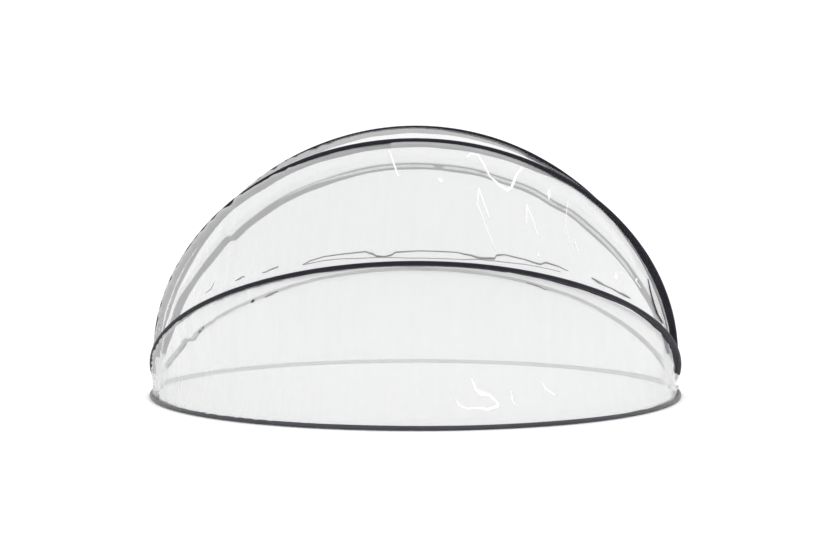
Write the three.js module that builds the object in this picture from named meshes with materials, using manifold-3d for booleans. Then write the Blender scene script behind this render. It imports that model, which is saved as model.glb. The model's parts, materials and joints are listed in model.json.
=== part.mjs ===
// A clear folding dome cover that stands on the ground.
// Six clear film panels hang on seven half-round bows, which all hinge about one left-right axis
// at two side hubs, so the dome folds open to the rear like a pram hood.
// Millimetres, +Z up, front towards -Y, origin on the ground under the middle of the dome's box.
import * as THREE from 'three';
import { mergeVertices } from 'three/addons/utils/BufferGeometryUtils.js';
import Module from 'manifold-3d';

const wasm = await Module();
wasm.setup();

// Driving dimensions
const FRONT_BOW_RADIUS = 2000; // outer edge of the front base bow's sleeve
const BOW_STEP = 8; // each bow is this much larger than the one in front of it, so they nest
const BOW_ANGLES = [0, 28.8, 62.2, 97.1, 118.6, 154.1, 180]; // degrees, from the ground in front
const PIVOT_HEIGHT = 16; // the hinge axis above the ground
const TUBE_RADIUS = 12.5;
const TUBE_WALL = 1.5;
const SLEEVE_RADIUS = 15.5; // outside of the pocket that the tube runs in
const SLEEVE_BORE = 13.3;
const FLANGE_DEPTH = 67; // sleeve band, from its outer edge to the flange's inner edge
const FLANGE_THICKNESS = 2.4;
const FILM_THICKNESS = 1.2;
const FILM_RISE = 5; // the film's inner face above the outer edge of the bow in front
const FILM_GAP = 0.5; // between the film's rear edge and the sleeve that carries it
const FILM_START = 150; // where the film begins, from the hinge axis
const SLEEVE_START = 262; // the sleeve, the tube and the plug begin nearer and nearer the axis
const TUBE_START = 200;
const PLUG_START = 170;
const PLUG_END = 250;
const PLUG_RADIUS = 10.6;
const EYE_RADIUS = 12;
const EYE_BORE = 6.6;
const EYE_INSET = 25.5; // the eyes lie this far inside their bow's outer edge
const BAR_THICKNESS = 4;
const BAR_LENGTH = 178;
const BAR_TAPER = 3; // how much narrower each side of the bar is at the tube
const BOLT_RADIUS = 6;
const BOLT_HEAD_RADIUS = 10;
const BOLT_HEAD_LENGTH = 7;
const SPACER_RADIUS = 9.5;
const PLAY = 0.4; // between pieces that touch on the bolt
const CHEEK_THICKNESS = 4;
const CHEEK_WIDTH = 36;
const CHEEK_TOP = 13; // above the hinge axis
const FOOT_THICKNESS = 3;
const FOOT_LENGTH = 110; // along the ground, front to back
const FOOT_MARGIN = 10; // foot plate beyond each cheek
const FOOT_CORNER = 10;

// Facets
const RING_SEGMENTS = 48; // round a whole ring, shared by bows and film so their facets line up
const SECTION_SIDES = 6;
const ROUND_SEGMENTS = 10;

const LAST = BOW_ANGLES.length - 1;
const FAR = 3 * FRONT_BOW_RADIUS; // larger than anything, for cutting blocks
const radians = THREE.MathUtils.degToRad;
const bowRadius = (k) => FRONT_BOW_RADIUS + BOW_STEP * k;
const tubeLine = (k) => bowRadius(k) - SLEEVE_RADIUS;
const filmInner = (k) => bowRadius(k - 1) + FILM_RISE;
const filmOuter = (k) => filmInner(k) + FILM_THICKNESS;
const PIVOT_Y = (filmOuter(1) - bowRadius(LAST)) / 2; // centres the whole box front to back

const materials = {
  film: new THREE.MeshStandardMaterial({
    color: 0xf3f5f7, roughness: 0.12, metalness: 0, transparent: true, opacity: 0.35,
  }),
  sleeve: new THREE.MeshStandardMaterial({ color: 0x2b2b33, roughness: 0.7, metalness: 0 }),
  tube: new THREE.MeshStandardMaterial({ color: 0xb9bcc0, roughness: 0.35, metalness: 1 }),
  fitting: new THREE.MeshStandardMaterial({ color: 0xe9eaec, roughness: 0.55, metalness: 0 }),
  hub: new THREE.MeshStandardMaterial({ color: 0xdfe1e4, roughness: 0.45, metalness: 0.3 }),
  bolt: new THREE.MeshStandardMaterial({ color: 0xa6a9ad, roughness: 0.3, metalness: 1 }),
};

function solidOf(geometry) {
  const bare = geometry.clone();
  bare.deleteAttribute('normal');
  bare.deleteAttribute('uv');
  const merged = mergeVertices(bare, 1e-3);
  return new wasm.Manifold(new wasm.Mesh({
    numProp: 3,
    vertProperties: new Float32Array(merged.attributes.position.array),
    triVerts: new Uint32Array(merged.index.array),
  }));
}

function geometryOf(solid) {
  const mesh = solid.getMesh();
  const geometry = new THREE.BufferGeometry();
  geometry.setAttribute('position', new THREE.BufferAttribute(mesh.vertProperties, 3));
  geometry.setIndex(new THREE.BufferAttribute(mesh.triVerts, 1));
  geometry.computeVertexNormals();
  return geometry;
}

function meshOf(name, geometry, material) {
  const mesh = new THREE.Mesh(geometry, material);
  mesh.name = name;
  return mesh;
}

// A block between two corners, as a solid for cutting
function block(low, high) {
  const size = new THREE.Vector3().subVectors(high, low);
  const centre = new THREE.Vector3().addVectors(low, high).multiplyScalar(0.5);
  const box = new THREE.BoxGeometry(size.x, size.y, size.z);
  return solidOf(box.translate(centre.x, centre.y, centre.z));
}

// The part of an upright bow that is at least `start` above the hinge axis
function above(start) {
  return block(new THREE.Vector3(-FAR, -FAR, start), new THREE.Vector3(FAR, FAR, FAR));
}

// A regular section of a bow: points are (distance from the bow's centre, height off its plane)
function roundSection(centre, radius) {
  const points = [];
  for (let i = 0; i <= SECTION_SIDES; i += 1) {
    const angle = (2 * Math.PI * i) / SECTION_SIDES;
    points.push(new THREE.Vector2(centre + radius * Math.cos(angle), radius * Math.sin(angle)));
  }
  return points;
}

// A whole ring with that section, standing in the XZ plane round the origin
function ring(points) {
  return solidOf(new THREE.LatheGeometry(points, RING_SEGMENTS));
}

function tubeGeometry(k) {
  const outside = ring(roundSection(tubeLine(k), TUBE_RADIUS));
  const inside = ring(roundSection(tubeLine(k), TUBE_RADIUS - TUBE_WALL));
  return geometryOf(outside.subtract(inside).intersect(above(TUBE_START)));
}

// A round pocket over the tube, with a flat flange towards the middle of the dome
function sleeveGeometry(k) {
  const half = FLANGE_THICKNESS / 2;
  const flangeInside = bowRadius(k) - FLANGE_DEPTH;
  const flangeOutside = tubeLine(k) - 0.6 * SLEEVE_RADIUS; // within the pocket's wall
  const pocket = ring(roundSection(tubeLine(k), SLEEVE_RADIUS));
  const flange = ring([
    new THREE.Vector2(flangeInside, -half),
    new THREE.Vector2(flangeOutside, -half),
    new THREE.Vector2(flangeOutside, half),
    new THREE.Vector2(flangeInside, half),
    new THREE.Vector2(flangeInside, -half),
  ]);
  const bore = ring(roundSection(tubeLine(k), SLEEVE_BORE));
  return geometryOf(pocket.add(flange).subtract(bore).intersect(above(SLEEVE_START)));
}

// Points of a half ring of that radius, facet by facet, from FILM_START above the hinge axis
function halfRing(radius) {
  const stations = RING_SEGMENTS / 2;
  const corner = (i) => {
    const angle = (Math.PI * i) / stations;
    return new THREE.Vector2(radius * Math.sin(angle), -radius * Math.cos(angle));
  };
  const share = FILM_START / corner(1).x;
  const points = [corner(0).lerp(corner(1), share)];
  for (let i = 1; i < stations; i += 1) {
    points.push(corner(i));
  }
  points.push(corner(stations).lerp(corner(stations - 1), share));
  return points;
}

// The film in front of bow k, in that bow's upright frame: a lune of a thin round shell.
// It passes over the bow in front and stops just before its own bow's sleeve.
function filmGeometry(k) {
  const profile = [...halfRing(filmOuter(k)), ...halfRing(filmInner(k)).reverse()];
  profile.push(profile[0].clone());
  const shell = new THREE.LatheGeometry(profile, RING_SEGMENTS).rotateZ(-Math.PI / 2);
  const inFront = block(
    new THREE.Vector3(-FAR, -FAR, -FAR),
    new THREE.Vector3(FAR, -(SLEEVE_RADIUS + FILM_GAP), FAR),
  );
  // Everything behind the plane of the bow in front
  const behind = new THREE.BoxGeometry(2 * FAR, FAR, 2 * FAR).translate(0, FAR / 2, 0);
  behind.rotateX(radians(BOW_ANGLES[k] - BOW_ANGLES[k - 1]));
  return geometryOf(solidOf(shell).intersect(inFront).intersect(solidOf(behind)));
}

// Shape coordinates (x, y) become (Y, Z), and the extrusion runs along X about its middle
function plateAcrossX(shape, thickness, centreX) {
  const plate = new THREE.ExtrudeGeometry(shape, {
    depth: thickness, bevelEnabled: false, curveSegments: ROUND_SEGMENTS / 2,
  });
  plate.translate(0, 0, -thickness / 2);
  plate.applyMatrix4(new THREE.Matrix4().makeBasis(
    new THREE.Vector3(0, 1, 0), new THREE.Vector3(0, 0, 1), new THREE.Vector3(1, 0, 0),
  ));
  return plate.translate(centreX, 0, 0);
}

function roundHole(radius, centreY) {
  const hole = new THREE.Path();
  hole.absarc(0, centreY, radius, 0, 2 * Math.PI, false);
  return hole;
}

// Plug in the tube's end, and a flat bar from it to the hinge eye
function fittingGeometry(k, side) {
  const narrow = EYE_RADIUS - BAR_TAPER;
  const outline = new THREE.Shape();
  outline.moveTo(narrow, BAR_LENGTH);
  outline.lineTo(-narrow, BAR_LENGTH);
  outline.lineTo(-EYE_RADIUS, 0);
  outline.absarc(0, 0, EYE_RADIUS, Math.PI, 2 * Math.PI, false);
  outline.lineTo(narrow, BAR_LENGTH);
  outline.holes.push(roundHole(EYE_BORE, 0));
  const bar = plateAcrossX(outline, BAR_THICKNESS, side * (bowRadius(k) - EYE_INSET));
  const nearSide = block(
    new THREE.Vector3(Math.min(0, side * FAR), -FAR, PLUG_START),
    new THREE.Vector3(Math.max(0, side * FAR), FAR, PLUG_END),
  );
  const plug = ring(roundSection(tubeLine(k), PLUG_RADIUS)).intersect(nearSide);
  return geometryOf(solidOf(bar).add(plug));
}

const firstEye = bowRadius(0) - EYE_INSET;
const lastEye = bowRadius(LAST) - EYE_INSET;
const cheekOffset = BAR_THICKNESS / 2 + PLAY + CHEEK_THICKNESS / 2;
const innerCheek = firstEye - cheekOffset;
const outerCheek = lastEye + cheekOffset;

// A hub's foot plate with its two cheeks, in the frame of the hinge axis
function hubFootGeometry(side) {
  const low = innerCheek - CHEEK_THICKNESS / 2 - FOOT_MARGIN;
  const high = outerCheek + CHEEK_THICKNESS / 2 + FOOT_MARGIN;
  const halfX = (high - low) / 2;
  const halfY = FOOT_LENGTH / 2;
  const flatX = halfX - FOOT_CORNER;
  const flatY = halfY - FOOT_CORNER;
  const outline = new THREE.Shape();
  outline.absarc(flatX, flatY, FOOT_CORNER, 0, Math.PI / 2, false);
  outline.absarc(-flatX, flatY, FOOT_CORNER, Math.PI / 2, Math.PI, false);
  outline.absarc(-flatX, -flatY, FOOT_CORNER, Math.PI, 1.5 * Math.PI, false);
  outline.absarc(flatX, -flatY, FOOT_CORNER, 1.5 * Math.PI, 2 * Math.PI, false);
  const plate = new THREE.ExtrudeGeometry(outline, {
    depth: FOOT_THICKNESS, bevelEnabled: false, curveSegments: 2,
  });
  plate.translate((side * (low + high)) / 2, 0, -PIVOT_HEIGHT);
  const sunk = FOOT_THICKNESS / 2 - PIVOT_HEIGHT; // the cheeks' lower edge, inside the plate
  const half = CHEEK_WIDTH / 2;
  const cheek = new THREE.Shape();
  cheek.moveTo(-half, sunk);
  cheek.lineTo(half, sunk);
  cheek.absarc(CHEEK_TOP / 2, CHEEK_TOP / 2, CHEEK_TOP / 2, 0, Math.PI / 2, false);
  cheek.absarc(-CHEEK_TOP / 2, CHEEK_TOP / 2, CHEEK_TOP / 2, Math.PI / 2, Math.PI, false);
  cheek.lineTo(-half, sunk);
  cheek.holes.push(roundHole(EYE_BORE, 0));
  let foot = solidOf(plate);
  for (const x of [innerCheek, outerCheek]) {
    foot = foot.add(solidOf(plateAcrossX(cheek, CHEEK_THICKNESS, side * x)));
  }
  return geometryOf(foot);
}

// A ring round the hinge axis; six segments make a nut
function washerGeometry(radius, bore, length, centreX, segments) {
  const half = length / 2;
  const profile = [
    new THREE.Vector2(bore, -half),
    new THREE.Vector2(radius, -half),
    new THREE.Vector2(radius, half),
    new THREE.Vector2(bore, half),
    new THREE.Vector2(bore, -half),
  ];
  return new THREE.LatheGeometry(profile, segments).rotateZ(-Math.PI / 2).translate(centreX, 0, 0);
}

function boltGeometry(side) {
  const head = outerCheek + CHEEK_THICKNESS / 2 + PLAY;
  const tip = innerCheek - CHEEK_THICKNESS / 2 - PLAY - 1.4 * BOLT_HEAD_LENGTH;
  const end = head + BOLT_HEAD_LENGTH;
  const shank = new THREE.CylinderGeometry(BOLT_RADIUS, BOLT_RADIUS, end - tip - 1, ROUND_SEGMENTS);
  shank.rotateZ(-Math.PI / 2).translate((side * (tip + end - 1)) / 2, 0, 0);
  const cap = new THREE.CylinderGeometry(BOLT_HEAD_RADIUS, BOLT_HEAD_RADIUS, BOLT_HEAD_LENGTH, 6);
  cap.rotateZ(-Math.PI / 2).translate((side * (head + end)) / 2, 0, 0);
  return geometryOf(solidOf(shank).add(solidOf(cap)));
}

function nutGeometry(side) {
  const centre = innerCheek - CHEEK_THICKNESS / 2 - PLAY - BOLT_HEAD_LENGTH / 2;
  return washerGeometry(BOLT_HEAD_RADIUS, EYE_BORE + 0.4, BOLT_HEAD_LENGTH, side * centre, 6);
}

const bowNames = [
  'front_base_bow', 'bow_1', 'bow_2', 'bow_3', 'bow_4', 'bow_5', 'rear_base_bow',
];
const sides = { left: -1, right: 1 };

// One bow with its sleeve, end fittings and the film in front of it, turned to its place
function buildBow(k) {
  const name = bowNames[k];
  const group = new THREE.Group();
  group.rotation.x = radians(90 - BOW_ANGLES[k]);
  group.add(meshOf(`${name}_tube`, tubeGeometry(k), materials.tube));
  group.add(meshOf(`${name}_sleeve`, sleeveGeometry(k), materials.sleeve));
  for (const [word, side] of Object.entries(sides)) {
    const fitting = fittingGeometry(k, side);
    group.add(meshOf(`${name}_end_fitting_${word}`, fitting, materials.fitting));
  }
  if (k > 0) {
    group.add(meshOf(`film_panel_${k}`, filmGeometry(k), materials.film));
  }
  return group;
}

function buildHub(word, side) {
  const group = new THREE.Group();
  group.add(meshOf(`hub_foot_${word}`, hubFootGeometry(side), materials.hub));
  group.add(meshOf(`hinge_bolt_${word}`, boltGeometry(side), materials.bolt));
  group.add(meshOf(`hinge_nut_${word}`, nutGeometry(side), materials.bolt));
  const length = BOW_STEP - BAR_THICKNESS - 2 * PLAY;
  for (let k = 1; k <= LAST; k += 1) {
    const between = side * (firstEye + BOW_STEP * (k - 0.5));
    const spacer = washerGeometry(SPACER_RADIUS, EYE_BORE, length, between, ROUND_SEGMENTS);
    group.add(meshOf(`hinge_spacer_${word}_${k}`, spacer, materials.fitting));
  }
  return group;
}

const dome = new THREE.Group();
dome.position.set(0, PIVOT_Y, PIVOT_HEIGHT);
BOW_ANGLES.forEach((angle, k) => dome.add(buildBow(k)));
Object.entries(sides).forEach(([word, side]) => dome.add(buildHub(word, side)));

const cover = new THREE.Group();
cover.add(dome);

export default cover;
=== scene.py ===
"""A clear folding dome cover: film panels on half-round bows that hinge at two hubs on the ground."""
import json
import math

import bpy
import numpy as np
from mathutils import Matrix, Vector, noise


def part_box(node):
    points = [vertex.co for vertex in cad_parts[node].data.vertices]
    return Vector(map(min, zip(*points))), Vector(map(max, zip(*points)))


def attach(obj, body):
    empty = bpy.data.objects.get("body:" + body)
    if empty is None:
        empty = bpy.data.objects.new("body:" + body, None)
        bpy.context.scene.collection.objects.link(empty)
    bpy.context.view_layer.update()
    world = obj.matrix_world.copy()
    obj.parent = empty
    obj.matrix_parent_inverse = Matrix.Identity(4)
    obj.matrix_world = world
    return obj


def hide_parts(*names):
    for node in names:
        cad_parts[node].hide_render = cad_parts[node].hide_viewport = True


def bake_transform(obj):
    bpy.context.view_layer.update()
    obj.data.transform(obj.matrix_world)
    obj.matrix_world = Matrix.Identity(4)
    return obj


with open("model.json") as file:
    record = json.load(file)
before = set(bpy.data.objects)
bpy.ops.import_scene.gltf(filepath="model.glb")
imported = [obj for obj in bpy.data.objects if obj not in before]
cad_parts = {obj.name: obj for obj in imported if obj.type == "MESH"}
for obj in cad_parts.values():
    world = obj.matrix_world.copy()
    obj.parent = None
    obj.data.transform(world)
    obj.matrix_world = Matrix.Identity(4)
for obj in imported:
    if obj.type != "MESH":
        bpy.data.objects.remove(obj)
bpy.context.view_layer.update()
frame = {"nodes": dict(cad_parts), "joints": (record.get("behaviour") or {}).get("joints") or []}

# ---------------------------------------------------------------- the frame's own sizes, in metres
BODIES = ["front_bow", "bow_1", "bow_2", "bow_3", "bow_4", "bow_5", "base"]
BOWS = ["front_base_bow", "bow_1", "bow_2", "bow_3", "bow_4", "bow_5", "rear_base_bow"]
LAST = len(BOWS) - 1
FOLDED_SPACING = 7  # degrees left between neighbouring bows when the dome is folded

hinge_of = {joint["child"]: joint for joint in frame["joints"]}
PIVOT = Vector(hinge_of["bow_1"]["pos_m"])
FRONT_RADIUS = PIVOT.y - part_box("front_base_bow_sleeve")[0][1]
REAR_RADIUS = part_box("rear_base_bow_sleeve")[1][1] - PIVOT.y
bow_angle = [math.pi]
for body in reversed(BODIES[:-1]):
    opened = hinge_of[body]["range_deg"][1] + FOLDED_SPACING
    bow_angle.insert(0, bow_angle[0] - math.radians(opened))
bow_radius = [FRONT_RADIUS + (REAR_RADIUS - FRONT_RADIUS) * k / LAST for k in range(LAST + 1)]
EYE_INSET = bow_radius[0] - sum(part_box("front_base_bow_end_fitting_right")[i][0] for i in (0, 1)) / 2

# Sleeve, tube and tabs
TUBE_INSET = 0.0155  # the tube's centre below the bow's outer edge
POCKET_HALF = 0.0138  # the sleeve sits close round its tube
TUBE_RADIUS = 0.0125
TUBE_WALL = 0.0015
# Depth of sleeve and flange, from the outer edge in, as (degrees from the right hub, metres) keys
BAND_DEPTH = [
    [(0, 0.064), (180, 0.064)],
    [(0, 0.056), (40, 0.052), (90, 0.056), (130, 0.052), (155, 0.044), (180, 0.042)],
    [(0, 0.058), (34, 0.058), (40, 0.052), (46, 0.046), (56, 0.040), (60, 0.044), (66, 0.058),
     (74, 0.065), (120, 0.066), (135, 0.056), (180, 0.052)],
    [(0, 0.030), (46, 0.032), (54, 0.038), (66, 0.054), (76, 0.062), (120, 0.062), (135, 0.050),
     (150, 0.044), (158, 0.034), (180, 0.031)],
    [(0, 0.040), (26, 0.046), (44, 0.062), (128, 0.062), (138, 0.060), (142, 0.054), (147, 0.056),
     (152, 0.046), (158, 0.062), (166, 0.056), (180, 0.040)],
    [(0, 0.046), (60, 0.038), (118, 0.034), (152, 0.034), (162, 0.048), (180, 0.048)],
    [(0, 0.038), (180, 0.038)],
]
FLANGE_HALF = 0.0013  # half the flange's thickness
TAB_OVERLAP = 0.012  # of a tab over its sleeve's end
# Where each begins, in metres up the bow's own plane from the hinge axis
SLEEVE_START = 0.262
TUBE_START = 0.200
TAB_START = 0.026
FILM_START = 0.075
# A tab's half sizes, as (metres from the hinge axis, metres) keys: toward the outer edge, and across
TAB_RADIAL = [(TAB_START, 0.0033), (0.10, 0.0050), (0.178, 0.0100), (SLEEVE_START, 0.0144)]
TAB_ACROSS = [(TAB_START, 0.0140), (0.178, 0.0138), (SLEEVE_START, 0.0144)]
TAB_FLAT_TO = 0.11  # no flange nearer the hinge than this
TAB_FLANGE_HALF = 0.0016
# Grids
SLEEVE_ROWS = 481
TUBE_ROWS = 361
TUBE_SIDES = 20
POCKET_STEPS = 30  # round the pocket
FLANGE_STEPS = 8  # along each side of the flange
TAB_ROWS = 26


def smooth(x):
    """A soft step from 0 to 1."""
    x = np.clip(x, 0.0, 1.0)
    return x * x * (3 - 2 * x)


def keyed(x, keys):
    """Smooth steps between given (place, value) keys."""
    places = [key[0] for key in keys]
    values = [key[1] for key in keys]
    out = np.full(np.shape(x), float(values[0]))
    for i in range(len(keys) - 1):
        share = smooth((x - places[i]) / (places[i + 1] - places[i]))
        out = out + (values[i + 1] - values[i]) * share
    return out


def wander(x, seed, wavelength):
    """A soft random line along x, from about -1 to 1, the same on every run."""
    flat = np.ravel(x)
    line = [noise.noise(Vector((float(a) / wavelength, seed * 7.31, seed * 3.17))) for a in flat]
    return 1.6 * np.reshape(line, np.shape(x))


def place(theta, t, rho, off=0.0):
    """Points of a bow plane at angle theta: t goes along the bow from the right hub, rho is the
    distance from the dome's centre and off the distance behind the plane."""
    theta, t, rho, off = np.broadcast_arrays(theta, t, rho, off)
    up = rho * np.sin(t)
    return np.stack(
        [
            PIVOT.x + rho * np.cos(t),
            PIVOT.y - up * np.cos(theta) + off * np.sin(theta),
            PIVOT.z + up * np.sin(theta) + off * np.cos(theta),
        ],
        axis=-1,
    )


# The bows are joined rods, so they are not quite true circles: (degrees from the right hub, metres
# outward) keys, on top of a slight wander.
KINKS = {
    4: [(44, 0), (50, 0.007), (55, -0.007), (62, 0.006), (69, -0.005), (76, 0.004), (84, 0),
        (100, 0.004), (112, -0.003), (122, 0), (133, -0.009), (138.8, -0.013), (139.9, 0.014),
        (145, 0.004), (152, 0), (158.5, 0.014), (166, 0)],
    5: [(36, 0), (44, 0.005), (54, -0.005), (60, 0), (128, 0), (134, -0.005), (148, 0.005),
        (149.5, -0.007), (152, 0), (155.5, 0), (158.9, -0.026), (159.7, 0.028), (163, 0.005), (168, 0)],
}


def kink(k, t):
    """How far bow k stands outward of its circle, and behind its plane."""
    degrees = np.degrees(t)
    along = t * bow_radius[k]
    ends = smooth((np.minimum(t, math.pi - t) * bow_radius[k] - 0.35) / 0.4)
    outward = 0.0012 * wander(along, k + 200, 0.7)
    if k in KINKS:
        outward = outward + keyed(degrees, KINKS[k])
    return outward * ends, 0.0020 * wander(along, k + 220, 0.9) * ends


def on_bow(k, t, inset, off=0.0):
    """Points of bow k, a distance in from its outer edge and off behind its plane."""
    outward, behind = kink(k, t)
    return place(bow_angle[k], t, bow_radius[k] - inset + outward, off + behind)


# ---------------------------------------------------------------- meshes
def in_scene(name, data):
    """A new object for a mesh, lamp or camera."""
    obj = bpy.data.objects.new(name, data)
    bpy.context.scene.collection.objects.link(obj)
    return obj


def mesh_object(name, points, faces, material, uv=None, sharp=None, layers=None):
    """A smooth-shaded mesh in the scene. uv has one row for each point, sharp is in degrees, and
    layers holds a named value for each point, for the material to read."""
    mesh = bpy.data.meshes.new(name)
    mesh.from_pydata(points.reshape(-1, 3).tolist(), [], faces)
    mesh.materials.append(material)
    if uv is not None:
        flat = uv.reshape(-1, 2)
        layer = mesh.uv_layers.new(name="cloth")
        corners = np.zeros(len(mesh.loops), int)
        mesh.loops.foreach_get("vertex_index", corners)
        layer.data.foreach_set("uv", flat[corners].astype(np.float32).ravel())
    for key, values in (layers or {}).items():
        layer = mesh.attributes.new(key, "FLOAT", "POINT")
        layer.data.foreach_set("value", np.ravel(values).astype(np.float32))
    mesh.polygons.foreach_set("use_smooth", [True] * len(mesh.polygons))
    if sharp is not None:
        mesh.set_sharp_from_angle(angle=math.radians(sharp))
    mesh.update()
    return in_scene(name, mesh)


def sheet_faces(rows, columns):
    """Faces of an open grid of points."""
    return [
        (i * columns + j, i * columns + j + 1, (i + 1) * columns + j + 1, (i + 1) * columns + j)
        for i in range(rows - 1)
        for j in range(columns - 1)
    ]


def loft_faces(rows, columns, capped=True):
    """Faces of a closed section carried along a line; each row is one section."""
    faces = []
    for i in range(rows - 1):
        for j in range(columns):
            a = i * columns + j
            b = i * columns + (j + 1) % columns
            faces.append((a, b, b + columns, a + columns))
    if capped:
        faces.append(tuple(reversed(range(columns))))
        faces.append(tuple((rows - 1) * columns + j for j in range(columns)))
    return faces


# ---------------------------------------------------------------- materials
class Nodes:
    """A short way to write a material's node tree."""

    def __init__(self, name):
        self.material = bpy.data.materials.new(name)
        self.material.use_nodes = True
        self.tree = self.material.node_tree
        self.surface = self.tree.nodes["Principled BSDF"]

    def add(self, kind, inputs=(), **settings):
        node = self.tree.nodes.new(kind)
        for key, value in settings.items():
            setattr(node, key, value)
        for key, value in dict(inputs).items():
            self.feed(node, key, value)
        return node

    def feed(self, node, key, value):
        socket = node.inputs[key]
        if isinstance(value, bpy.types.NodeSocket):
            self.tree.links.new(value, socket)
        else:
            socket.default_value = value

    def maths(self, operation, a, b=0.0, c=0.0, clamp=False):
        inputs = {0: a, 1: b, 2: c}
        return self.add("ShaderNodeMath", inputs, operation=operation, use_clamp=clamp).outputs[0]

    def noise(self, vector, scale, detail=3.0, roughness=0.5):
        inputs = {"Vector": vector, "Scale": scale, "Detail": detail, "Roughness": roughness}
        return self.add("ShaderNodeTexNoise", inputs).outputs["Fac"]

    def ramp(self, value, low, high, to_low=0.0, to_high=1.0):
        inputs = {
            "Value": value, "From Min": low, "From Max": high, "To Min": to_low, "To Max": to_high,
        }
        return self.add("ShaderNodeMapRange", inputs, interpolation_type="SMOOTHSTEP").outputs[0]

    def mix(self, share, a, b):
        node = self.add("ShaderNodeMix", data_type="RGBA")
        self.feed(node, 0, share)
        self.feed(node, 6, a)
        self.feed(node, 7, b)
        return node.outputs[2]

    def bump(self, height, strength, distance, normal=None):
        node = self.add("ShaderNodeBump", {"Height": height})
        node.inputs["Strength"].default_value = strength
        node.inputs["Distance"].default_value = distance
        if normal is not None:
            self.feed(node, "Normal", normal)
        return node.outputs[0]

    def attribute(self, name):
        return self.add("ShaderNodeAttribute", attribute_name=name).outputs["Fac"]


def principled(nodes, values):
    """Sets the surface's values or links, and gives the finished material."""
    for key, value in values.items():
        nodes.feed(nodes.surface, key, value)
    return nodes.material


FILM_COLOUR = (0.708, 0.711, 0.715, 1)
FILM_ALPHA = 0.50
WHITE = (1.0, 1.0, 1.0, 1)
HAZE = 0.012  # how far the film's alpha wavers, each way
WEAVE_PITCH = 0.0016
STITCH_PITCH = 0.0072
# Stitch rows, measured round the sleeve's section from its first point
STITCH_ROWS = [0.0965, 0.1035, 0.1655, 0.1725]


def film_material(name, base_alpha):
    """Clear PVC film, slightly milky, more so in its welded edges; painted white along creases as a
    highlight for the glints on them, and whiter where it bunches by the hubs.
    """
    n = Nodes(name)
    here = n.add("ShaderNodeTexCoord").outputs["Object"]
    edge = n.attribute("edge")
    painted_glint_and_bunching = n.attribute("painted_glint_and_bunching")
    haze = n.ramp(n.noise(here, 1.6, 4.0), 0.3, 0.7, -HAZE, HAZE)
    hem = n.ramp(edge, 0.030, 0.024, 0.0, 0.10)
    gathered = n.attribute("gather")
    alpha = n.maths("ADD", n.maths("ADD", haze, base_alpha), hem)
    flat = n.add("ShaderNodeUVMap", uv_map="cloth").outputs[0]
    drawn = n.add("ShaderNodeMapping", {"Vector": flat, "Scale": (7.0, 0.5, 1.0)}).outputs[0]
    streaks = n.ramp(n.noise(drawn, 1.0, 4.0), 0.3, 0.7, -HAZE, HAZE)
    alpha = n.maths("ADD", alpha, streaks)
    alpha = n.maths("ADD", alpha, n.maths("MULTIPLY", gathered, 0.22))
    # Along creases the film turns white and more opaque: a painted highlight for the glints on creased
    # film. The same layer also whitens the bunched film by the hubs.
    alpha = n.maths("ADD", alpha, n.maths("MULTIPLY", painted_glint_and_bunching, 0.8), clamp=True)
    tint = n.mix(painted_glint_and_bunching, FILM_COLOUR, WHITE)
    ripple = n.bump(n.noise(here, 9.0, 2.0, 0.4), 0.10, 0.003)
    fine = n.bump(n.noise(here, 160.0, 2.0), 0.02, 0.0002, ripple)
    return principled(n, {
        "Base Color": tint, "Roughness": 0.07, "Specular IOR Level": 0.32, "Alpha": alpha,
        "Normal": fine,
    })


def woven_material(name, colour, worn, roughness, level):
    """Woven, coated cloth: plain weave, rows of stitches, soft creases and slightly worn spots."""
    n = Nodes(name)
    uv = n.add("ShaderNodeUVMap", uv_map="cloth").outputs[0]
    here = n.add("ShaderNodeTexCoord").outputs["Object"]
    split = n.add("ShaderNodeSeparateXYZ", {"Vector": uv})
    waves = []
    for axis in (0, 1):
        phase = n.maths("MULTIPLY", split.outputs[axis], 2 * math.pi / WEAVE_PITCH)
        waves.append(n.maths("SINE", phase))
    weave = n.maths("MULTIPLY", waves[0], waves[1])
    creases = n.noise(here, 22.0, 4.0, 0.6)
    patches = n.ramp(n.noise(here, 5.0, 5.0, 0.65), 0.35, 0.75)
    stitch_run = n.maths("FRACT", n.maths("MULTIPLY", split.outputs[0], 1 / STITCH_PITCH))
    stitch_on = n.ramp(stitch_run, 0.66, 0.62)
    stitch = 0.0
    for row in STITCH_ROWS:
        away = n.maths("ABSOLUTE", n.maths("SUBTRACT", split.outputs[1], row))
        stitch = n.maths("MAXIMUM", stitch, n.ramp(away, 0.0011, 0.0006))
    stitch = n.maths("MULTIPLY", stitch, stitch_on)
    shade = n.mix(patches, colour, worn)
    thread = tuple(min(1.0, 3.0 * c + 0.02) for c in colour[:3]) + (1,)
    bump = n.bump(creases, 0.35, 0.004)
    bump = n.bump(weave, 0.5, 0.0004, bump)
    bump = n.bump(stitch, 0.8, 0.0008, bump)
    return principled(n, {
        "Base Color": n.mix(stitch, shade, thread),
        "Roughness": n.ramp(creases, 0.2, 0.8, roughness - 0.08, roughness + 0.08),
        "Specular IOR Level": level,
        "Sheen Weight": 0.08,
        "Normal": bump,
    })


def metal_material(name, colour, roughness, grain_scale, metallic=1.0):
    """A fine-grained surface with duller, rougher blotches: metal, or paint and plastic at 0."""
    n = Nodes(name)
    here = n.add("ShaderNodeTexCoord").outputs["Object"]
    grain = n.noise(here, grain_scale, 3.0)
    blotch = n.noise(here, 14.0, 4.0, 0.6)
    dull = tuple(0.8 * c for c in colour[:3]) + (1,)
    return principled(n, {
        "Base Color": n.mix(n.ramp(blotch, 0.35, 0.75), colour, dull),
        "Metallic": metallic,
        "Roughness": n.ramp(blotch, 0.3, 0.7, roughness - 0.06, roughness + 0.10),
        "Normal": n.bump(grain, 0.15, 0.0004),
    })


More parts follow.
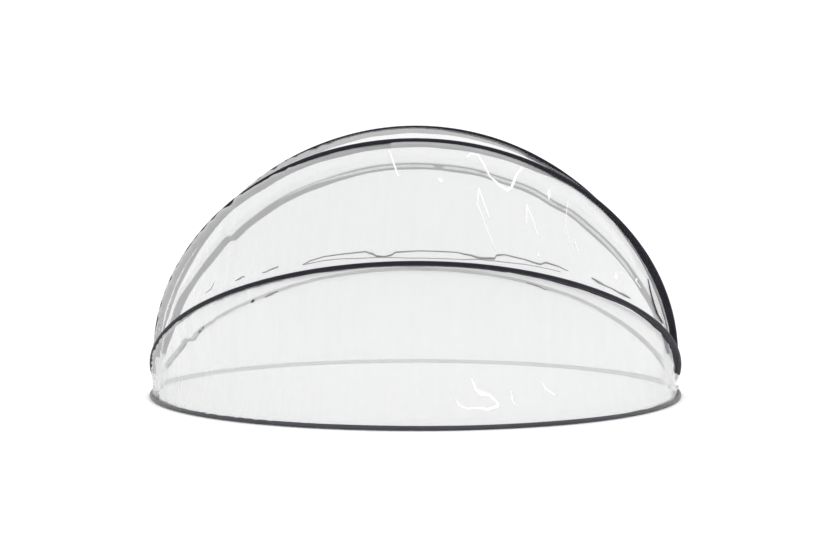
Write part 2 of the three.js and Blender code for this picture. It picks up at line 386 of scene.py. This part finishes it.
film = film_material("clear_film", FILM_ALPHA)
sleeve_cloth = woven_material(
    "sleeve_cloth", (0.010, 0.010, 0.016, 1), (0.016, 0.016, 0.024, 1), 0.50, 0.14)
# The front base bow's cloth: the sleeve cloth with a lighter base colour, a painted sheen for its
# grazing-lit top face, besides a real higher specular level.
ground_cloth_painted_sheen = woven_material(
    "ground_cloth_painted_sheen", (0.016, 0.018, 0.026, 1), (0.026, 0.028, 0.038, 1), 0.36, 0.6)
tab_cloth = woven_material(
    "tab_cloth", (0.86, 0.865, 0.87, 1), (0.78, 0.785, 0.80, 1), 0.55, 0.4)
tube_metal = metal_material("tube_metal", (0.72, 0.73, 0.75, 1), 0.32, 400.0)
hem_weld = metal_material("hem_weld", (0.26, 0.26, 0.265, 1), 0.45, 300.0, 0.0)
dark_weld = metal_material("dark_weld", (0.030, 0.030, 0.034, 1), 0.40, 300.0, 0.0)
bolt_steel = metal_material("bolt_steel", (0.56, 0.57, 0.59, 1), 0.30, 600.0)
hub_paint = metal_material("hub_paint", (0.74, 0.75, 0.77, 1), 0.42, 300.0, 0.0)
fitting_nylon = metal_material("fitting_nylon", (0.80, 0.81, 0.82, 1), 0.50, 200.0, 0.0)


# ---------------------------------------------------------------- sleeves
def pocket_section(radial, side, flange, half):
    """Closed section of a sleeve as (inset from the outer edge, off the bow's plane) points.
    radial and side are the pocket's half sizes. flange is the whole depth, half its half
    thickness."""
    pinch = math.asin(min(0.9, half / side))
    points = []
    for i in range(POCKET_STEPS + 1):
        angle = math.pi - pinch - (2 * math.pi - 2 * pinch) * i / POCKET_STEPS
        points.append((radial - radial * math.cos(angle), side * math.sin(angle)))
    reach = max(flange - 2 * radial, 0.0)
    for i in range(1, FLANGE_STEPS + 1):
        points.append((2 * radial + reach * i / FLANGE_STEPS, -half))
    for i in range(FLANGE_STEPS, 0, -1):
        points.append((2 * radial + reach * i / FLANGE_STEPS, half))
    return np.array(points)


def section_lengths(section):
    """How far each point of a section lies from its first point, measured round it."""
    steps = np.linalg.norm(np.diff(section, axis=0), axis=1)
    return np.concatenate([[0], np.cumsum(steps)])


def bow_sleeve(k):
    """The dark band of bow k: a pocket over the tube, and a flange that ripples a little."""
    radius = bow_radius[k]
    first = math.asin(SLEEVE_START / radius)
    t = np.linspace(first, math.pi - first, SLEEVE_ROWS)[:, None]
    along = t * radius
    # One metre of flange, so that inset beyond the pocket is the share of the flange's depth
    section = pocket_section(POCKET_HALF, POCKET_HALF, 1.0 + 2 * POCKET_HALF, FLANGE_HALF)
    inset = section[None, :, 0]
    off = section[None, :, 1]
    flange = np.clip(inset - 2 * POCKET_HALF, 0, 1)
    ends = smooth((np.minimum(t, math.pi - t) - first) / 0.05)
    ripple = 0.0040 * wander(along, k + 1, 0.17) + 0.0016 * wander(along, k + 20, 0.05)
    depth = 0.0045 * wander(along, k + 40, 0.22)
    lump = 1 + 0.018 * wander(along, k + 60, 0.11)
    reach = keyed(np.degrees(t), BAND_DEPTH[k]) - TUBE_INSET - POCKET_HALF - depth * ends
    pocket = TUBE_INSET + (inset - POCKET_HALF) * lump
    inset = np.where(flange > 0, TUBE_INSET + POCKET_HALF + flange * reach, pocket)
    off = np.where(flange > 0, off + smooth(flange) * ripple * ends, off * lump)
    points = on_bow(k, t, inset, off)
    # For the weave, the flange counts as 30 mm deep
    flat = section.copy()
    flat[:, 0] = np.where(flat[:, 0] > 2 * POCKET_HALF, 0.03 + 0.03 * flat[:, 0], flat[:, 0])
    lengths = section_lengths(flat)
    uv = np.stack(np.broadcast_arrays(along, lengths[None, :]), axis=-1)
    rows, columns = points.shape[:2]
    name = f"{BOWS[k]}_cloth_sleeve"
    faces = loft_faces(rows, columns)
    cloth = ground_cloth_painted_sheen if k == 0 else sleeve_cloth
    sleeve = mesh_object(name, points, faces, cloth, uv, sharp=50)
    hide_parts(f"{BOWS[k]}_sleeve")
    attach(sleeve, BODIES[k])


def bow_tube(k):
    """A bent round tube with a real wall, in place of the faceted one."""
    first = math.asin(TUBE_START / (bow_radius[k] - TUBE_INSET))
    t = np.linspace(first, math.pi - first, TUBE_ROWS)[:, None]
    around = np.linspace(0, 2 * math.pi, TUBE_SIDES, endpoint=False)[None, :]
    shells = []
    for size in (TUBE_RADIUS, TUBE_RADIUS - TUBE_WALL):
        inset = TUBE_INSET - size * np.cos(around)
        shells.append(on_bow(k, t, inset, size * np.sin(around)))
    rows, columns = shells[0].shape[:2]
    outer = loft_faces(rows, columns, capped=False)
    count = rows * columns
    inner = [tuple(count + a for a in reversed(face)) for face in outer]
    rims = []
    for start, flip in ((0, True), ((rows - 1) * columns, False)):
        for j in range(columns):
            a, b = start + j, start + (j + 1) % columns
            rim = (a, b, count + b, count + a)
            rims.append(rim[::-1] if flip else rim)
    points = np.concatenate([shell.reshape(-1, 3) for shell in shells])
    tube = mesh_object(f"{BOWS[k]}_round_tube", points, outer + inner + rims, tube_metal, sharp=40)
    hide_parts(f"{BOWS[k]}_tube")
    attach(tube, BODIES[k])


def end_tab(k, side):
    """The pale tab that runs from a sleeve's end over the bar to just short of the hinge eye."""
    radius = bow_radius[k]
    up = np.linspace(SLEEVE_START + TAB_OVERLAP, TAB_START, TAB_ROWS)
    share = smooth((up - TAB_START) / (SLEEVE_START - TAB_START))
    radial = keyed(up, TAB_RADIAL)
    across = keyed(up, TAB_ACROSS)
    end = 4.0 if side > 0 else 176.0
    band = keyed(np.array([end]), BAND_DEPTH[k])[0]
    depth = keyed(up, [(TAB_FLAT_TO, 0.0), (SLEEVE_START + TAB_OVERLAP, band + 0.001)])
    # x of the pocket's outer edge: the bow's own curve at the sleeve, the eye's place at the hub
    on_curve = np.sqrt(radius**2 - up**2)
    at_eye = radius - EYE_INSET + radial
    outer = (on_curve - 0.0011) * share + at_eye * (1 - share)
    rows = []
    for i, height in enumerate(up):
        flange = max(depth[i], 2 * radial[i] + 0.0005)
        section = pocket_section(radial[i], across[i], flange, TAB_FLANGE_HALF)
        crumple = 0.0012 * math.sin(47.0 * height + 1.7 * k) * (1 - share[i])
        x = side * (outer[i] - section[:, 0])
        off = section[:, 1] + crumple
        theta = bow_angle[k]
        rows.append(np.stack([
            PIVOT.x + x,
            PIVOT.y - height * math.cos(theta) + off * math.sin(theta),
            PIVOT.z + height * math.sin(theta) + off * math.cos(theta),
        ], axis=-1))
    points = np.array(rows)
    count, columns = points.shape[:2]
    lengths = section_lengths(pocket_section(POCKET_HALF, POCKET_HALF, band, FLANGE_HALF))
    uv = np.stack(np.broadcast_arrays(up[:, None], lengths[None, :]), axis=-1)
    faces = loft_faces(count, columns)
    if side > 0:
        faces = [face[::-1] for face in faces]
    word = "right" if side > 0 else "left"
    tab = mesh_object(f"{BOWS[k]}_end_tab_{word}", points, faces, tab_cloth, uv, sharp=50)
    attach(tab, BODIES[k])


# ---------------------------------------------------------------- film
# How far below a bow's outer edge the film is welded on, as (degrees from the right hub, metres)
# keys. The seams wander, so a band lies bare in one place and under the film in another.
UPPER_SEAM = [(0, 0.006), (40, 0.006), (46, 0.015), (52, 0.018), (58, 0.026), (62, 0.029),
              (67, 0.024), (76, 0.024), (90, 0.019), (112, 0.017), (124, 0.008), (132, 0.0042),
              (180, 0.0042)]
SECOND_SEAM = [(0, 0.056), (34, 0.056), (40, 0.050), (46, 0.043), (51, 0.036), (56, 0.031),
               (61, 0.035), (66, 0.029), (70, 0.025), (78, 0.022), (94.2, 0.020), (95.2, 0.030),
               (108, 0.026), (120, 0.018), (132, 0.0045), (180, 0.0045)]
FIRST_SEAM = [(0, 0.056), (70, 0.050), (100, 0.044), (125, 0.034), (145, 0.020), (165, 0.014),
              (180, 0.012)]
REAR_EDGE = {
    1: FIRST_SEAM, 2: SECOND_SEAM, 3: UPPER_SEAM, 4: [(0, 0.006), (180, 0.006)],
    5: [(0, 0.042), (180, 0.042)], 6: [(0, 0.043), (180, 0.043)],
}
FRONT_EDGE = [(0, 0.034), (180, 0.034)]
# The same for the front edge of panel 1, on the front base bow
GROUND_EDGE = [(0, 0.032), (30, 0.031), (52, 0.011), (130, 0.011), (150, 0.031), (180, 0.032)]
# Where the film is milky along a panel's rear edge: (strength, metres wide, degrees from the right
# hub where it begins)
MILKY_EDGE = {2: (0.3, 0.06, 122), 3: (1.4, 0.06, 122), 6: (2.2, 0.018, -20)}
TUCK = 0.011  # panel 6 is tucked down inside the rear base bow by this much
SEAM_WANDER = [(100, 0.0005), (126, 0.0085)]  # how far it wanders, as the same kind of keys
SEAM_LEAST = -0.0008  # it never stands further out than this
SEAM_HUB = 0.022  # where the seam lies below the outer edge near a hub
SEAM_LIFT = 0.0016  # the film above the band it is welded to
SAG = [0.0, 0.80, 0.88, 0.92, 0.84, 0.90, 0.78]  # each panel's fall, from the round 0 to straight 1
SMOOTH_PANEL = 3  # the one that is pulled almost smooth
LOOSE_PANELS = (1, 6)  # the ones on the ground, which hang looser
CREASE_HEIGHT = 0.0035
CREASE_WIDEN = 1.6  # the raised part is wider than the white
# Grid of the film: rows along it and columns from bow to bow, and row spacing in radians where
# a panel is creased
FILM_ROWS = 421
SMOOTH_ROWS = 841
FILM_COLUMNS = 61
CREASED_COLUMNS = 201
COARSE_STEP = 0.006
FINE_STEP = 0.0024
FINE_FROM = 50  # degrees; the few creases further right than this lie on coarse rows

# Creases on panels 1 and 2, painted white as a highlight for the light glinting off them, as (degrees
# from the right hub, share of the way to the rear bow, half width in millimetres, whiteness of the
# painted highlight) along each stroke
CREASES_AND_GLINTS = {
    1: [
        [(80.0, 0.290, 3, 0.7), (79.2, 0.215, 7, 1), (78.2, 0.192, 14, 1), (76.8, 0.182, 7, 1),
         (75.2, 0.125, 6, 1)],
        [(75.4, 0.112, 9, 1), (77.2, 0.095, 7, 1), (79.2, 0.104, 5, 1), (80.8, 0.100, 5, 1),
         (82.3, 0.120, 5, 1), (82.8, 0.158, 3, 0.5)],
        [(72.8, 0.205, 3, 0.8), (72.6, 0.140, 4, 1), (72.1, 0.112, 4, 0.5)],
        [(66.9, 0.278, 3, 0.5), (66.0, 0.222, 4, 1), (64.2, 0.174, 5, 1)],
    ],
    2: [
        [(95.0, 0.94, 4, 1), (93.2, 0.70, 5, 1)],
        [(85.2, 0.672, 10, 1), (84.9, 0.660, 10, 1)],
        [(79.9, 0.90, 6, 1), (79.3, 0.935, 6, 1), (77.8, 0.935, 7, 1), (76.6, 0.86, 5, 1),
         (75.4, 0.763, 5, 1), (73.6, 0.712, 9, 1), (71.9, 0.68, 13, 1), (70.9, 0.718, 8, 1),
         (69.8, 0.858, 8, 1), (68.8, 0.93, 9, 1)],
        [(62.6, 0.84, 4, 0.8), (62.6, 0.795, 12, 1), (62.6, 0.74, 4, 0.8)],
        [(77.6, 0.64, 6, 0.8), (78.0, 0.49, 4, 0.6), (77.2, 0.41, 4, 0.5), (76.3, 0.28, 4, 0.5),
         (75.1, 0.14, 4, 0.4)],
        [(77.5, 0.63, 5, 0.7), (76.5, 0.485, 4, 0.7), (75.8, 0.40, 4, 0.6)],
        [(67.7, 0.60, 5, 0.8), (68.0, 0.47, 4, 0.6), (68.3, 0.36, 3, 0.3)],
        [(67.6, 0.58, 5, 0.8), (66.7, 0.487, 5, 0.6), (65.9, 0.35, 6, 0.5)],
        [(66.4, 0.20, 5, 0.7), (66.5, 0.165, 5, 0.7)],
        [(58.1, 0.82, 3, 0.8), (58.5, 0.70, 3, 0.6), (58.9, 0.535, 3, 0.5), (58.3, 0.357, 3, 0.4)],
        [(57.2, 0.448, 4, 0.5), (56.6, 0.31, 4, 0.4)],
        [(46.4, 0.300, 13, 0.9), (46.7, 0.262, 12, 0.9)],
        [(37.2, 0.54, 6, 0.9), (38.4, 0.455, 6, 0.9), (37.3, 0.452, 7, 0.9), (36.4, 0.440, 7, 0.9)],
    ],
}

# The doubled hem that shows along the lower edge of panel 2, in the same terms without whiteness
HEM_LINES = [
    [(110.5, 0.070, 4.6), (108.8, 0.094, 4.4), (106.4, 0.105, 4.2), (98.9, 0.103, 5.0),
     (97.6, 0.084, 7.4), (96.6, 0.062, 7.0), (95.2, 0.058, 4.6), (94.2, 0.064, 7.0),
     (93.2, 0.085, 5.6), (89.0, 0.092, 4.0), (82.7, 0.092, 4.4), (80.4, 0.080, 6.0),
     (78.2, 0.065, 7.6), (75.6, 0.072, 8.0), (75.0, 0.103, 6.6), (73.4, 0.115, 5.0),
     (70.5, 0.110, 4.8), (66.6, 0.096, 6.4), (65.0, 0.124, 7.0), (62.9, 0.122, 5.2),
     (60.3, 0.110, 3.4)],
    [(110.5, 0.070, 3.0), (106.3, 0.075, 2.8), (97.0, 0.055, 2.8), (90.0, 0.041, 2.4),
     (82.0, 0.043, 2.4), (78.3, 0.055, 3.0), (74.5, 0.058, 2.8), (68.6, 0.072, 2.4),
     (62.2, 0.080, 2.2)],
    [(134.7, 0.132, 2.4), (132.9, 0.144, 4.0), (132.0, 0.175, 2.6)],
    [(125.8, 0.102, 3.0), (124.6, 0.106, 6.6), (123.3, 0.100, 3.0)],
    [(119.2, 0.088, 3.4), (117.6, 0.095, 4.6), (115.8, 0.100, 5.6)],
    [(54.6, 0.118, 6.0), (52.8, 0.105, 13.0), (51.2, 0.100, 6.0), (49.5, 0.105, 5.0),
     (47.5, 0.100, 7.0), (45.4, 0.107, 11.0), (43.4, 0.116, 5.0)],
]
# A thicker cord of it by bow 2, on the right
HEM_CORD = [
    [(31.6, 0.81, 3.0), (31.4, 0.76, 5.0), (31.1, 0.64, 5.0), (30.6, 0.46, 5.5), (30.0, 0.30, 5.5),
     (28.2, 0.28, 5.0), (26.2, 0.28, 3.0)],
]
# Dashes and dark spots of the same weld along the rear edge of panel 1
WELD_DASHES = [
    [(135.8, 0.765, 4.0), (135.4, 0.772, 9.0), (135.0, 0.780, 4.0)],
    [(134.8, 0.786, 4.0), (134.4, 0.793, 8.0), (134.0, 0.799, 4.0)],
    [(118.2, 0.897, 4.0), (117.0, 0.906, 7.0), (115.4, 0.917, 4.0)],
    [(69.4, 0.953, 2.6), (67.3, 0.943, 4.0), (65.3, 0.930, 3.0)],
]
WELD_SPOTS = [
    [(121.1, 0.889, 5.0), (120.8, 0.889, 9.0), (120.5, 0.889, 5.0)],
]
HEM_STEP = 0.35  # degrees between rows
HEM_LEAST = 8  # rows
HEM_SIDES = 8
HEM_THICKEST = 0.008

# The clear strip on bow 4, in degrees from the right hub, and (degrees, metres) keys
STRIP_FROM = 24
STRIP_TO = 126
STRIP_TAPER = 8  # degrees over which its ends narrow to nothing
STRIP_INSET = [(104, 0.0335), (116, 0.022)]
STRIP_HALF = [(104, 0.0098), (116, 0.0050)]
STRIP_NARROW = [(51, 1), (53, 0.45), (56, 1), (72, 1), (74, 0.5), (76, 1), (82.8, 1), (83.8, 0.05),
                (85.0, 0.05), (86.2, 1)]
STRIP_ROWS = 361
STRIP_COLUMNS = 9
STRIP_RADIUS = 2  # metres, near enough for its length


def seam_inset(t, keys, seed):
    """How far below a bow's outer edge the film begins, with a wander that grows on the left."""
    away = np.minimum(t, math.pi - t) * bow_radius[0]
    wanders = keyed(np.degrees(t), SEAM_WANDER) * wander(t * bow_radius[0], seed, 0.055)
    inset = np.maximum(keyed(np.degrees(t), keys) + wanders, SEAM_LEAST)
    on_band = smooth((away - 0.10) / 0.25)
    return inset * on_band + SEAM_HUB * (1 - on_band)


def seam_off(inset):
    """How far the film lies off the bow's plane: half the band's thickness there, and a little."""
    across = np.clip(1 - ((inset - TUBE_INSET) / POCKET_HALF) ** 2, 0, 1)
    return np.maximum(POCKET_HALF * np.sqrt(across), FLANGE_HALF) + SEAM_LIFT


def panel_size(k):
    """The radius midway between bows k-1 and k, and the angle between them."""
    return (bow_radius[k - 1] + bow_radius[k]) / 2, bow_angle[k] - bow_angle[k - 1]


def film_surface(k, t, v):
    """Points of the film between bows k-1 and k: v runs from 0 on the front bow to 1 on the rear.
    It is taut, puckered along both seams and gathered towards the hubs."""
    t, v = np.broadcast_arrays(t, v)
    front = bow_radius[k - 1]
    rear = bow_radius[k]
    middle, spread = panel_size(k)
    line = t[:, :1]
    along = line * middle
    up = middle * np.sin(t)
    inset_front = seam_inset(line, GROUND_EDGE if k == 1 else FRONT_EDGE, k + 80)
    inset_rear = seam_inset(line, REAR_EDGE[k], k + 90)
    out_front, behind_front = kink(k - 1, line)
    out_rear, behind_rear = kink(k, line)
    rho = (front - inset_front + out_front) * (1 - v) + (rear - inset_rear + out_rear) * v
    off_front = seam_off(inset_front) + behind_front
    off_rear = behind_rear + (TUCK if k == LAST else -seam_off(inset_rear))
    off = off_front * (1 - v) + off_rear * v
    middle_share = 4 * v * (1 - v)
    sag = SAG[k] * up * (1 - math.cos(spread / 2)) * middle_share
    to_edge = np.exp(-v / 0.16) + np.exp(-(1 - v) / 0.16)
    pucker = wander(along, 3 * k + 100, 0.060) * 0.35 + wander(along, 3 * k + 101, 0.16) * 0.65
    taut = 0.05 if k == SMOOTH_PANEL else 1.0
    pucker = 0.0032 * taut * pucker * to_edge
    slack = 1.5 if k in LOOSE_PANELS else taut
    hang = 0.0050 * slack * wander(along, 3 * k + 102, 0.21)
    near_hub = smooth(1 - (up - 0.10) / 0.75)
    fan = np.sin(2 * math.pi * (4.3 * v + 0.4 * wander(along, k + 140, 0.6))) * near_hub
    fan = 0.016 * fan * np.minimum(up, 0.45)
    hold = smooth(np.minimum(v, 1 - v) / 0.05)
    rho = rho - sag + (pucker + hang * middle_share**0.5 + fan) * hold
    for stroke in CREASES_AND_GLINTS.get(k, []):
        rho = rho + CREASE_HEIGHT * stroke_share(k, t, v, stroke, CREASE_WIDEN)[0]
    return place(bow_angle[k - 1] + spread * v, t, rho, off)


def stroke_share(k, t, v, stroke, widen=1.0):
    """From 1 on a stroke to 0 beside it, for every point of the film, and its whiteness, the painted
    highlight along the crease.
    """
    middle, spread = panel_size(k)
    share = np.zeros(t.shape)
    white = np.zeros(t.shape)
    x = middle * t
    y = middle * np.sin(t) * spread * v
    for a, b in zip(stroke[:-1], stroke[1:]):
        ends = []
        for degrees, across in (a[:2], b[:2]):
            angle = math.radians(degrees)
            ends.append((middle * angle, middle * math.sin(angle) * spread * across))
        (ax, ay), (bx, by) = ends
        length = (bx - ax) ** 2 + (by - ay) ** 2
        at = np.clip(((x - ax) * (bx - ax) + (y - ay) * (by - ay)) / length, 0, 1)
        away = np.hypot(x - ax - at * (bx - ax), y - ay - at * (by - ay))
        half = widen * (a[2] + at * (b[2] - a[2])) / 1000
        here = smooth(1.35 - away / (half * 1.15))
        share = np.maximum(share, here)
        white = np.maximum(white, here * (a[3] + at * (b[3] - a[3])))
    return share, white


def film_rows(k):
    """Places along the film, closer together where it is creased."""
    middle, _ = panel_size(k)
    first = math.asin(FILM_START / middle)
    places = [point[0] for stroke in CREASES_AND_GLINTS.get(k, []) for point in stroke]
    marked = [degrees for degrees in places if degrees > FINE_FROM]
    if not marked:
        rows = SMOOTH_ROWS if k == SMOOTH_PANEL else FILM_ROWS
        return np.linspace(first, math.pi - first, rows)[:, None]
    low = math.radians(min(marked) - 1)
    high = math.radians(max(marked) + 1)
    return np.concatenate([
        np.linspace(first, low, int((low - first) / COARSE_STEP), endpoint=False),
        np.linspace(low, high, int((high - low) / FINE_STEP), endpoint=False),
        np.linspace(high, math.pi - first, int((math.pi - first - high) / COARSE_STEP)),
    ])[:, None]


def film_panel(k):
    """The sheet of film between bows k-1 and k."""
    t = film_rows(k)
    v = np.linspace(0, 1, CREASED_COLUMNS if k in CREASES_AND_GLINTS else FILM_COLUMNS)[None, :]
    points = film_surface(k, t, v)
    rows, columns = points.shape[:2]
    middle, spread = panel_size(k)
    up = middle * np.sin(t)
    white = np.zeros((rows, columns))
    wide_t, wide_v = np.broadcast_arrays(t, v)
    # Whiteness along the creases is a painted highlight; the bunched film by the hubs is whiter too.
    for stroke in CREASES_AND_GLINTS.get(k, []):
        white = np.maximum(white, stroke_share(k, wide_t, wide_v, stroke)[1])
    gather = smooth(1 - (up - 0.10) / 0.45) + 0 * v
    to_rear = (1 - v) * spread * up
    if k in MILKY_EDGE:
        share, width, from_degrees = MILKY_EDGE[k]
        milky = share * smooth(1.5 - to_rear / width) * smooth((np.degrees(t) - from_degrees) / 14)
        gather = np.maximum(gather, milky)
    bunched = smooth((0.32 + 0.07 * np.cos(t) - up) / 0.14)
    white = np.maximum(white, 0.5 * bunched + 0 * v)
    layers = {"edge": np.minimum(v, 1 - v) * spread * up, "painted_glint_and_bunching": white, "gather": gather}
    uv = np.stack(np.broadcast_arrays(t * middle, v * spread * middle), axis=-1)
    faces = sheet_faces(rows, columns)
    panel = mesh_object(f"clear_film_{k}", points, faces, film, uv, layers=layers)
    panel.visible_shadow = False
    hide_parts(f"film_panel_{k}")
    cross(panel)


def film_hem(name, k, lines, material, roundness=0.5):
    """Thin raised dark welds on panel k. roundness is their thickness as a share of their width."""
    points = []
    faces = []
    for line in lines:
        degrees = np.array([point[0] for point in line])[::-1]
        count = max(HEM_LEAST, int((degrees[-1] - degrees[0]) / HEM_STEP))
        t = np.linspace(degrees[0], degrees[-1], count)
        v = keyed(t, [point[:2] for point in reversed(line)])
        half = keyed(t, [(point[0], point[2]) for point in reversed(line)]) / 1000
        radians = np.radians(t)[:, None]
        centre = film_surface(k, radians, v[:, None])[:, 0]
        step = film_surface(k, radians, v[:, None] + 0.01)[:, 0] - centre
        across = step / np.linalg.norm(step, axis=1)[:, None]
        ahead = np.gradient(centre, axis=0)
        out = np.cross(across, ahead)
        out = out / np.linalg.norm(out, axis=1)[:, None]
        out = out * np.sign(np.sum(out * (centre - np.array(PIVOT)), axis=1))[:, None]
        angle = np.linspace(0, 2 * math.pi, HEM_SIDES, endpoint=False)[None, :, None]
        wide = half[:, None, None] * np.cos(angle) * across[:, None]
        thick = (roundness * np.minimum(half, HEM_THICKEST))[:, None, None]
        ring = centre[:, None] + wide + thick * (np.sin(angle) + 1) * out[:, None]
        base = sum(len(part) for part in points)
        faces += [tuple(base + i for i in face) for face in loft_faces(count, HEM_SIDES)]
        points.append(ring.reshape(-1, 3))
    hem = mesh_object(name, np.concatenate(points), faces, material)
    hem.visible_shadow = False
    cross(hem)


def weld_strip():
    """Where the film is welded to bow 4's flange, a clear strip lies between two dark edges."""
    first = math.radians(STRIP_FROM)
    last = math.radians(STRIP_TO)
    t = np.linspace(first, last, STRIP_ROWS)[:, None]
    v = np.linspace(0, 1, STRIP_COLUMNS)[None, :]
    degrees = np.degrees(t)
    along = t * STRIP_RADIUS
    centre = keyed(degrees, STRIP_INSET) + 0.0015 * wander(along, 301, 0.3)
    half = keyed(degrees, STRIP_HALF)
    half = half * smooth(np.minimum(degrees - STRIP_FROM, STRIP_TO - degrees) / STRIP_TAPER)
    half = half * keyed(degrees, STRIP_NARROW)
    inset = centre + (2 * v - 1) * half
    points = on_bow(4, t, inset, -seam_off(inset) - 0.0010)
    uv = np.stack(np.broadcast_arrays(along, v * 0.024), axis=-1)
    zeros = np.zeros(points.shape[:2])
    layers = {"edge": zeros, "painted_glint_and_bunching": zeros, "gather": zeros + 1.5}
    strip = mesh_object(
        "weld_strip", points, sheet_faces(STRIP_ROWS, STRIP_COLUMNS), film, uv, layers=layers)
    strip.visible_shadow = False
    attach(strip, BODIES[4])


def cross(piece):
    """Bakes the piece's transform into its mesh; it is not attached to any bow."""
    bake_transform(piece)


# ---------------------------------------------------------------- build
for k in range(LAST + 1):
    bow_sleeve(k)
    bow_tube(k)
    for side in (-1, 1):
        end_tab(k, side)
for k in range(1, LAST + 1):
    film_panel(k)
film_hem("film_hem", 2, HEM_LINES, hem_weld)
film_hem("hem_cord", 2, HEM_CORD, dark_weld, 1.0)
film_hem("weld_dashes", 1, WELD_DASHES, hem_weld)
film_hem("weld_spots", 1, WELD_SPOTS, dark_weld)
weld_strip()

for name, obj in frame["nodes"].items():
    if "end_fitting" in name or "spacer" in name:
        finish = fitting_nylon
    elif "foot" in name:
        finish = hub_paint
    elif "bolt" in name or "nut" in name:
        finish = bolt_steel
    else:
        continue
    for slot in obj.material_slots:
        slot.material = finish


# ---------------------------------------------------------------- stage, light, camera
FLOOR_HALF = 60.0
FLOOR_COLOUR = (0.99, 0.99, 0.99, 1)
FLOOR_GLOW = 0.06  # a little brighter than the lights alone make it
WORLD_STRENGTH = 1.15
LAMP_TOWARDS = (0.40, 0.217, 0.88)  # from the dome
LAMP_DISTANCE = 7.0
LAMP_SIZE = 0.5
LAMP_POWER = 40
AIM_HEIGHT = 0.8


def floor():
    """A plain pale floor."""
    corners = [(-1, -1, 0), (1, -1, 0), (1, 1, 0), (-1, 1, 0)]
    points = FLOOR_HALF * np.array(corners, float)
    n = Nodes("pale_floor")
    material = principled(n, {
        "Base Color": FLOOR_COLOUR,
        "Roughness": 0.9,
        "Specular IOR Level": 0.1,
        "Emission Color": WHITE,
        "Emission Strength": FLOOR_GLOW,
    })
    mesh_object("floor", points, [(0, 1, 2, 3)], material)


def lamp():
    """One small soft lamp above, kept out of reflections."""
    data = bpy.data.lights.new("overhead", "AREA")
    data.size = LAMP_SIZE
    data.energy = LAMP_POWER
    obj = in_scene("overhead", data)
    aim = Vector((0, PIVOT.y, AIM_HEIGHT))
    obj.location = aim + LAMP_DISTANCE * Vector(LAMP_TOWARDS).normalized()
    obj.rotation_euler = (aim - obj.location).to_track_quat("-Z", "Y").to_euler()
    obj.visible_glossy = False


def light():
    """Even white light from all round, and the lamp."""
    world = bpy.data.worlds.new("studio")
    world.use_nodes = True
    background = world.node_tree.nodes["Background"]
    background.inputs["Color"].default_value = WHITE
    background.inputs["Strength"].default_value = WORLD_STRENGTH
    bpy.context.scene.world = world
    lamp()
    bpy.context.scene.view_settings.view_transform = "Standard"


CAMERA_DISTANCE = 8.116
CAMERA_ELEVATION = math.radians(7.10)
CAMERA_AZIMUTH = math.radians(0.245)
FOCAL_LENGTH = 45.26  # mm
SENSOR_WIDTH = 36  # mm
SHIFT_X = 0.0012
SHIFT_Y = 0.1309
CLIP_END = 200


def camera():
    """The main view, aimed at the middle of the hinge axis."""
    data = bpy.data.cameras.new("camera")
    data.lens = FOCAL_LENGTH
    data.sensor_width = SENSOR_WIDTH
    data.shift_x = SHIFT_X
    data.shift_y = SHIFT_Y
    data.clip_end = CLIP_END
    obj = in_scene("camera", data)
    towards = Vector((
        math.sin(CAMERA_AZIMUTH) * math.cos(CAMERA_ELEVATION),
        -math.cos(CAMERA_AZIMUTH) * math.cos(CAMERA_ELEVATION),
        math.sin(CAMERA_ELEVATION),
    ))
    obj.location = PIVOT + CAMERA_DISTANCE * towards
    obj.rotation_euler = (-towards).to_track_quat("-Z", "Y").to_euler()
    bpy.context.scene.camera = obj


floor()
light()
camera()
